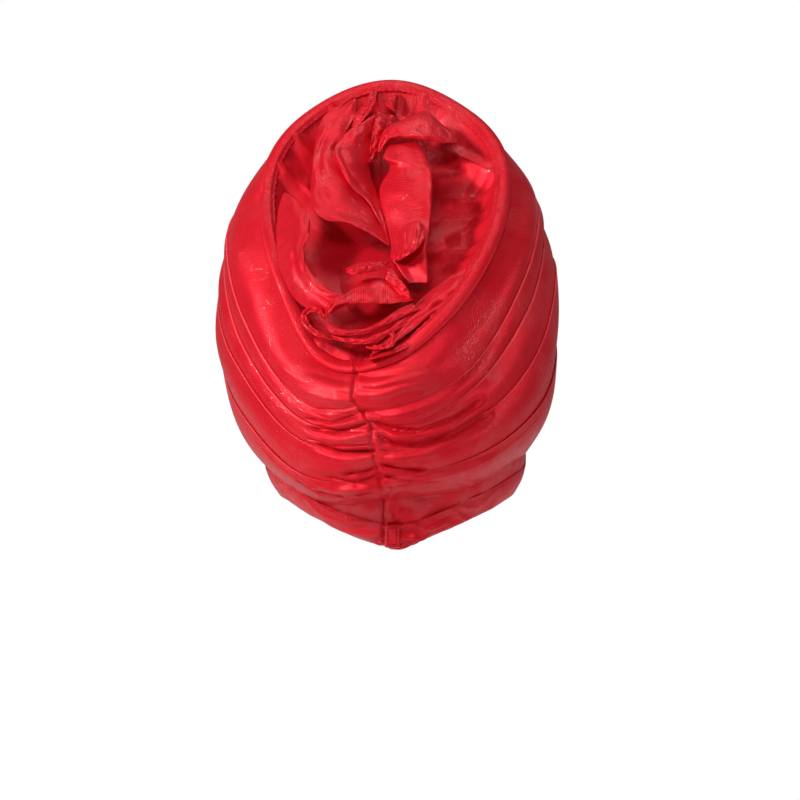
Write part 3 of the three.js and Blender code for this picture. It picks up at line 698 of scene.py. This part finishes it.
# Each fold is a strip of rows. A row is the crest's place across and up, as seen from behind, and how far it
# stands out of the opening, then the same of its far side, then its bulge, all in millimetres.
FOLDS = {
    "upper_left_petal": {"both": False, "drop": 8, "rows": (
        (20.3, 190.6, 2, 18.7, 190.6, 1, 0),
        (37.6, 179.6, 5, 18.4, 181, 4, 0.8),
        (42.5, 167, 7, 25, 168.5, 6, 1.2),
        (45, 152.8, 8, 31, 158.7, 7.5, 1.2),
        (46.3, 137, 9.5, 27.4, 144.9, 8, 1.5),
        (45.8, 122, 11, 20.3, 134.7, 6.5, 2),
        (37.6, 113.7, 12, 12.4, 125, 4.5, 2),
        (23.4, 111.5, 12, 4.5, 115, 3, 2),
        (9.3, 104.7, 9.5, 0.6, 107.1, 4, 1),
        (-2.6, 96.9, 7, -3.4, 98.5, 5, 0),
    )},
    "top_petal": {"both": False, "drop": 6, "rows": (
        (4.5, 181.9, 9, 3, 181, 6, 0),
        (14, 175, 9, 4.5, 172, 3, 1.5),
        (23.4, 169.3, 10, 8, 163, 3, 2.5),
        (31.3, 158.5, 11.5, 10, 152, 2, 2.5),
        (27, 144, 12, 9, 141.8, 1.5, 2),
        (20, 133, 10.5, 5.5, 132, 1.5, 1.5),
        (10, 123.5, 6.5, 1.5, 121, 2, 1),
        (-2.4, 101, 5.5, -3.4, 99, 4.5, 0),
    )},
    "top_petal_back": {"both": False, "drop": 5, "rows": (
        (4.8, 181.5, 9, -8, 179, 4, 0),
        (7, 172, 8, -1, 171, 5, 1),
        (9, 160, 6, 3.5, 160, 3, 0.5),
        (10, 150, 4, 5, 150, 1, 0),
    )},
    "upper_right_bow": {"both": True, "drop": 8, "rows": (
        (3, 155.9, 6, 4.8, 156.7, 5, 0.5),
        (-1.8, 163, 10, 2.2, 167, 9, 1.5),
        (-9.7, 165, 12.5, -3.4, 173.3, 11, 2.5),
        (-23.8, 163.8, 13.5, -12.8, 177.2, 12, 3),
        (-36.4, 162, 12, -25.4, 181.9, 10, 2.5),
        (-44.5, 162.2, 9, -36, 174, 8, 1.5),
        (-46, 164.5, 7, -45.5, 165.8, 6.5, 0),
    )},
    "right_petal": {"both": True, "drop": 10, "rows": (
        (-20.7, 163, 8, -2.6, 160.5, 7, 2),
        (-27.8, 149.6, 13, 0.8, 152.8, 8, 3),
        (-29.8, 141.8, 15, -3.4, 146.5, 6, 3),
        (-29.8, 129.2, 16, 3, 134, 3, 2.5),
        (-29, 116.6, 16, 2.2, 122, 2.5, 2),
        (-27.6, 105.5, 14, -1.5, 108, 4, 1.5),
        (-26, 95, 11, -3.8, 97, 5.5, 0.5),
        (-27, 86, 10, -4.5, 88, 6, 0),
        (-27, 74, 8, -14, 74, 4, 0),
    )},
    "small_right_loop": {"both": True, "drop": 6, "rows": (
        (-4, 88.5, 8, -4.2, 99, 8, 0.5),
        (-8, 87.5, 12, -7.5, 104.5, 10.5, 1.5),
        (-12.8, 89.8, 15, -12.8, 110, 13, 2),
        (-20.7, 95.3, 17, -20.7, 113.4, 15.5, 1.5),
        (-25.1, 102.4, 16.5, -24.6, 106.3, 16.5, 0.3),
    )},
    "small_left_loop": {"both": True, "drop": 6, "rows": (
        (-3.2, 86.5, 9, -3.2, 88, 9, 0),
        (3, 82, 12, 3, 87.3, 12, 1),
        (12.4, 80, 14, 12.4, 86.8, 13.5, 1.5),
        (20.3, 78.5, 14.5, 20.3, 85.1, 14, 1),
        (25.2, 81, 13, 25.3, 82.3, 13, 0),
    )},
    "knot_fold": {"both": True, "drop": 6, "rows": (
        (-2.6, 84.5, 9, -4.2, 84.3, 9, 0),
        (-0.2, 77.2, 10, -8, 78.5, 12, 1),
        (-6.5, 69.3, 10, -14.4, 70, 13, 1),
        (-14.5, 61.5, 9, -17, 63, 11, 0),
    )},
    "big_left_petal": {"both": False, "drop": 9, "rows": (
        (62.8, 131, 3, 64.4, 129.2, 2, 0),
        (56.5, 127.5, 6, 67, 120, 2, 1.5),
        (50, 119.7, 9, 68.3, 108, 2, 3),
        (46.9, 111.8, 11, 68.3, 99, 2, 4),
        (48, 103, 12, 67.5, 91, 2, 4.5),
        (50.2, 96, 12.5, 66, 82, 2, 4.5),
        (49.3, 86.6, 13, 62.8, 74, 2, 4),
        (43.9, 77.2, 13.5, 57, 64, 2, 3.5),
        (34.5, 69.3, 14, 48, 57, 3, 3),
        (25, 66.5, 13.5, 37, 54, 6, 2),
        (12.4, 68, 12, 24, 60, 10, 1),
    )},
    "mouth_upper_lip": {"both": True, "drop": 6, "rows": (
        (36.5, 50, 10, 37.5, 54, 10, 0),
        (33, 57, 12, 35, 62, 12, 1),
        (25, 60.3, 13, 25, 67, 12.5, 1.2),
        (12.4, 61, 13, 12.4, 76, 8, 1.5),
        (0, 60.5, 12, 0, 76, 7, 1.2),
        (-10, 61.3, 11, -12, 68, 8, 0.8),
        (-17, 62, 9, -17.5, 63, 9, 0),
    )},
    "mouth_lower_lip": {"both": True, "drop": 7, "rows": (
        (36.8, 49, 9, 35.5, 50.5, 9, 0),
        (35.2, 43, 10.5, 32.5, 46.5, 10.5, 0.6),
        (25, 40.6, 11, 24, 44.4, 11, 0.8),
        (12.4, 41.7, 11, 12.4, 45.2, 11, 0.8),
        (2, 46, 11.5, 2, 50.2, 11.5, 0.8),
        (-9.7, 51.5, 11, -6.5, 56, 11, 0.6),
        (-22, 57, 9, -17, 61, 9, 0),
    )},
    "small_mouth_loop": {"both": True, "drop": 6, "rows": (
        (33, 37.5, 6, 34, 40, 6, 0.3),
        (45, 41, 8, 43.5, 44.5, 8, 0.5),
        (51.8, 47.5, 9, 48, 49.5, 9, 0.5),
        (52.8, 54.5, 10, 48.6, 53.5, 10, 0.5),
        (46.5, 59, 11, 45, 55.2, 11, 0.5),
        (40, 57, 11, 41, 53.3, 11, 0.4),
        (38, 50, 10, 39.5, 49, 10, 0),
    )},
    "lower_ruffle": {"both": True, "drop": 6, "rows": (
        (33, 38.5, 7, 33.5, 41.5, 7, 0.4),
        (25, 36.4, 8.5, 25, 40, 8.5, 0.7),
        (15.6, 35, 9, 15.6, 39.5, 9, 0.8),
        (4.5, 37, 9.5, 5, 42, 9.5, 0.8),
        (-5, 42.5, 9.5, -4, 47, 9.5, 0.8),
        (-14.4, 48, 9, -12.8, 53, 9, 0.7),
        (-23.8, 54, 7.5, -22, 58, 7.5, 0),
    )},
    "ruffle_loop": {"both": True, "drop": 5, "rows": (
        (12, 32.5, 7, 12, 35.5, 7, 0.4),
        (3, 31.5, 8.5, 3.5, 34.8, 8.5, 0.5),
        (-5.5, 34, 9.5, -2.5, 36.5, 9.5, 0.5),
        (-7, 40.5, 10, -3.5, 40, 10, 0.5),
        (-3.5, 45.5, 10, -1.5, 42.8, 10, 0.3),
    )},
    "right_lower_fold": {"both": False, "drop": 7, "rows": (
        (-61, 82, 2, -57, 86, 1.5, 0),
        (-52, 74, 5, -45, 80, 2.5, 1.5),
        (-42, 64, 7.5, -33, 72, 3.5, 2),
        (-30, 54, 9, -22, 63, 5, 2),
        (-18, 44.5, 9.5, -12, 52, 6, 1.8),
        (-6, 36, 9, -2, 42, 6, 1.2),
        (8, 28, 6, 8, 33, 5, 0.5),
    )},
    "right_rim_fold": {"both": False, "drop": 6, "rows": (
        (-60, 75, 2, -57, 79, 1.5, 0),
        (-54, 64, 4, -50, 70, 2.5, 1),
        (-45, 54, 6, -41, 60, 3.5, 1.3),
        (-33, 45, 7, -29, 51.5, 4, 1.4),
        (-20, 36, 7.5, -17, 42.5, 4.5, 1.3),
        (-6, 29.5, 7, -5, 35, 4.5, 1),
        (10, 25, 5, 9, 29, 4, 0),
    )},
    "top_left_pleat": {"both": True, "drop": 5, "rows": (
        (5, 195.5, 3, 9, 195, 3, 0),
        (6, 187, 6, 12, 187.5, 5, 0.8),
        (12, 178, 6.5, 19, 180, 4, 0.8),
        (19, 171, 5, 23, 173, 2, 0.3),
    )},
    "top_right_pleat": {"both": True, "drop": 5, "rows": (
        (-8, 193, 3, -4.5, 192.5, 3, 0),
        (-5.5, 186, 6, -0.5, 187, 4.5, 0.6),
        (-7, 181.5, 6.5, -3.5, 183, 4.5, 0.5),
        (-14, 177.8, 6, -9, 180, 3, 0.2),
    )},
}
# The flatter cloth behind the petals has low ridges that run out to the rim. Each is given as the across and
# up of its two ends, then its rise and its width.
GROUND_RIDGES = (
    (-44, 161, -64, 148, 5, 7),
    (-36, 150, -62, 152, 3, 6),
    (-44, 134, -70, 131, 6, 6),
    (-36, 122, -66, 124, 2.5, 5),
    (-46, 112, -70, 118, 5, 7),
    (-34, 100, -66, 103, 3, 5),
    (-44, 92, -62, 95, 3, 6),
    (47, 160, 58, 168, 3, 8),
    (48, 140, 66, 148, 4, 9),
    (30, 182, 36, 188, 3, 8),
    (-14, 184, -28, 192, 3, 10),
    (-36, 178, -46, 182, 3, 9),
    (20, 30, 44, 36, 4, 8),
)
KNOT_AT = (-3.4, 87.5)
GROUND_DEPTH = 15
GROUND_GATHER = 2.0


def seen_at(across, up, out):
    """The place on the ray through a point seen from behind that stands out of the opening by a distance"""
    level = np.full_like(across, VIEW_TARGET[2])
    seen = np.stack((across + SEEN_MIDDLE, np.zeros_like(across), level), axis=1)
    seen = seen + up[:, None] * VIEW_UP - EYE
    reach = (out + OUT @ (MIDDLE - EYE)) / (seen @ OUT)
    return EYE + seen * reach[:, None]


def through(rows, s):
    """A smooth run through rows of numbers, at shares s of its length"""
    rows = np.array(rows, float)
    last = len(rows) - 1
    at = np.clip(np.floor(s * last).astype(int), 0, last - 1)
    f = (s * last - at)[:, None]
    before = rows[np.maximum(at - 1, 0)]
    after = rows[np.minimum(at + 2, last)]
    start = rows[at]
    end = rows[at + 1]
    lean_in = (end - before) / 2
    lean_out = (after - start) / 2
    return (
        start * (1 + 2 * f) * (1 - f) ** 2 + lean_in * f * (1 - f) ** 2
        + end * f * f * (3 - 2 * f) - lean_out * f * f * (1 - f)
    )


# A fold's section from under its crest to its far side: share across, share of the drop, share of the bulge
ONE_CREST = (
    (0.34, -1.25, 0), (0.16, -0.85, 0), (0.03, -0.40, 0), (0.0, -0.08, 0), (0.05, 0.03, 0.1),
    (0.22, 0, 0.7), (0.5, 0, 1), (0.78, 0, 0.6), (1, 0, 0),
)
TWO_CRESTS = (
    (0.30, -1.1, 0), (0.08, -0.6, 0), (0.0, -0.14, 0), (0.05, 0.03, 0.2), (0.25, 0, 0.8), (0.5, 0, 1),
    (0.75, 0, 0.8), (0.95, 0.03, 0.2), (1.0, -0.14, 0), (0.92, -0.6, 0), (0.70, -1.1, 0),
)


def fold_place(fold, seed):
    section = TWO_CRESTS if fold["both"] else ONE_CREST

    def place(s, t):
        run = through(fold["rows"], s)
        cut = through(section, t)
        share = cut[:, :1]
        seen = run[:, 0:3] * (1 - share) + run[:, 3:6] * share
        crumple = np.sin(s * 23 + 5 * t + seed) * np.sin(t * 11 + 3 * s + 2 * seed)
        crumple = crumple + 0.6 * np.sin(s * 51 - 9 * t + 3 * seed) * np.sin(t * 17 + seed)
        taper = 0.35 + 0.65 * np.sin(np.pi * np.clip(s, 0.06, 0.94)) ** 0.5
        pleat = np.abs(np.sin(np.pi * (2.6 * t + 0.3 * np.sin(4 * s + seed)) + seed)) ** 0.7 - 0.6
        pleat = pleat * smoothstep(cut[:, 2], 0.1, 0.8)
        out = seen[:, 2] + cut[:, 1] * fold["drop"] * taper + cut[:, 2] * run[:, 6]
        out = out / 1000 + CRUMPLE * crumple + PLEAT * pleat * taper
        return seen_at(seen[:, 0] / 1000, seen[:, 1] / 1000, out)

    return place


def ground_place(s, t):
    theta = round_angle(s)
    p, inward = rim_path(theta)
    p = p + inward * (ROLL_WIDTH * 0.45) + OUT * (ROLL_THICKNESS * 0.3)
    knot = seen_at(np.array([KNOT_AT[0] / 1000]), np.array([KNOT_AT[1] / 1000]), np.array([0.0]))[0]
    inwards = t ** 0.9
    p = p + (knot - p) * inwards[:, None]
    rel = p - MIDDLE
    upper = smoothstep(rel @ UP / HALF_UP, -0.75, 0.1)
    depth = GROUND_DEPTH * (0.35 + 0.65 * upper) * np.sin(np.pi * np.clip(inwards * 3.2, 0, 1) / 2) ** 1.2
    toward = p - EYE
    onto = EYE - toward * (VIEW_DISTANCE / (toward @ VIEW_BACK))[:, None]
    seen_x = (onto[:, 0] - SEEN_MIDDLE) * 1000
    seen_s = (onto - np.array((0, 0, VIEW_TARGET[2]))) @ VIEW_UP * 1000
    lift = np.zeros_like(seen_x)
    for x1, s1, x2, s2, rise, width in GROUND_RIDGES:
        run = np.array((x2 - x1, s2 - s1), float)
        length = np.linalg.norm(run)
        run /= length
        along = (seen_x - x1) * run[0] + (seen_s - s1) * run[1]
        far = np.abs(-(seen_x - x1) * run[1] + (seen_s - s1) * run[0])
        fade = np.clip((along + 8) / 10, 0, 1) * np.clip((length + 8 - along) / 12, 0, 1)
        lift = np.maximum(lift, rise * fade * np.clip(1 - far / width, 0, 1) ** 1.2)
    gather = np.abs(np.sin(theta * 15 + 2.2 * np.sin(4 * theta))) ** 0.6 - 0.6
    gather = GROUND_GATHER * gather * np.clip(inwards * 7, 0, 1) * np.exp(-inwards * 4.0)
    out = rel @ OUT * 1000 * (1 - inwards) - depth + lift + gather
    return p + OUT * ((out / 1000) - rel @ OUT)[:, None]


crown_meshes = [cloth_mesh("crown_ground", 400, 80, ground_place, (0.55, 0.075))]
for number, (name, fold) in enumerate(FOLDS.items()):
    rows = np.array(fold["rows"], float) / 1000
    long = np.linalg.norm(np.diff(rows[:, 0:2], axis=0), axis=1).sum()
    wide = 0.008 + np.linalg.norm(rows[:, 0:3] - rows[:, 3:6], axis=1).mean() * 1.3
    strip = fold_place(fold, number)
    crown_meshes.append(cloth_mesh(name, FOLD_COLUMNS, FOLD_ROWS, strip, (long, wide), closed=False))
crown_bm = bmesh.new()
for mesh in crown_meshes:
    crown_bm.from_mesh(mesh)
    bpy.data.meshes.remove(mesh)
crown_mesh = bpy.data.meshes.new("crown_folds")
crown_bm.to_mesh(crown_mesh)
crown_bm.free()
crown_cloth = cloth_material("crown_cloth", ribs=0.8, glint=0.5)
crown = worn(crown_mesh, crown_cloth, "crown_rosette")

# Camera and light
# The turban is looked at from straight behind and a little above, in a white studio. The main light is a soft
# one at the upper left, and weaker ones stand behind, at the right and above.
FOCAL_PIXELS = 2381
PHOTO_WIDTH_PIXELS = 800
SENSOR_WIDTH = 36

camera_data = bpy.data.cameras.new("camera")
camera_data.lens = FOCAL_PIXELS * SENSOR_WIDTH / PHOTO_WIDTH_PIXELS
camera_data.sensor_width = SENSOR_WIDTH
camera = bpy.data.objects.new("camera", camera_data)
camera.location = EYE
camera.rotation_euler = (math.pi / 2 - ELEVATION, 0, math.pi)
bpy.context.scene.collection.objects.link(camera)
bpy.context.scene.camera = camera
bpy.context.scene.view_settings.view_transform = "Standard"

FLOOR_HALF_WIDTH = 20
FLOOR_LEVEL = -0.42
floor_mesh = bpy.data.meshes.new("floor")
floor_bm = bmesh.new()
bmesh.ops.create_grid(floor_bm, x_segments=1, y_segments=1, size=FLOOR_HALF_WIDTH)
bmesh.ops.translate(floor_bm, verts=floor_bm.verts[:], vec=(0, 0, FLOOR_LEVEL))
floor_bm.to_mesh(floor_mesh)
floor_bm.free()
floor = bpy.data.objects.new("floor", floor_mesh)
bpy.context.scene.collection.objects.link(floor)
floor_material = bpy.data.materials.new("pale_floor")
floor_material.use_nodes = True
floor_nodes = floor_material.node_tree.nodes
floor_links = floor_material.node_tree.links
floor_shader = floor_nodes["Principled BSDF"]
floor_shader.inputs["Base Color"].default_value = (0.90, 0.90, 0.90, 1)
floor_shader.inputs["Roughness"].default_value = 0.9
lit_white = floor_nodes.new("ShaderNodeEmission")
lit_white.inputs["Strength"].default_value = 1.0
floor_rays = floor_nodes.new("ShaderNodeLightPath")
floor_mix = floor_nodes.new("ShaderNodeMixShader")
floor_links.new(floor_rays.outputs["Is Camera Ray"], floor_mix.inputs[0])
floor_links.new(floor_shader.outputs["BSDF"], floor_mix.inputs[1])
floor_links.new(lit_white.outputs["Emission"], floor_mix.inputs[2])
floor_links.new(floor_mix.outputs["Shader"], floor_nodes["Material Output"].inputs["Surface"])
floor.data.materials.append(floor_material)

world = bpy.data.worlds.new("studio")
world.use_nodes = True
world.node_tree.nodes["Background"].inputs["Color"].default_value = (1, 1, 1, 1)
world_nodes = world.node_tree.nodes
world_rays = world_nodes.new("ShaderNodeLightPath")
world_level = world_nodes.new("ShaderNodeMapRange")
world_level.inputs["To Min"].default_value = 0.11
world_level.inputs["To Max"].default_value = 1.0
world.node_tree.links.new(world_rays.outputs["Is Camera Ray"], world_level.inputs["Value"])
world.node_tree.links.new(world_level.outputs["Result"], world_nodes["Background"].inputs["Strength"])
bpy.context.scene.world = world


LIT_POINT = np.array((0, 0.03, -0.05))


def area_light(name, place, size, power, colour=(1, 1, 1)):
    data = bpy.data.lights.new(name, "AREA")
    data.size = size
    data.energy = power
    data.color = colour
    light = bpy.data.objects.new(name, data)
    light.location = place
    away = np.array(place) - LIT_POINT
    light.rotation_euler = (
        math.atan2(math.hypot(away[0], away[1]), away[2]), 0, math.atan2(away[0], -away[1]),
    )
    bpy.context.scene.collection.objects.link(light)


area_light("key", (1.35, 0.65, 0.80), 0.32, 24)
area_light("back", (0.1, 1.2, 0.9), 0.3, 3)
area_light("right", (-1.3, 0.3, 0.3), 0.5, 4)
area_light("top", (0.0, -0.2, 1.2), 0.5, 3)
area_light("glint", (0.35, 1.4, 0.9), 0.05, 3.5)
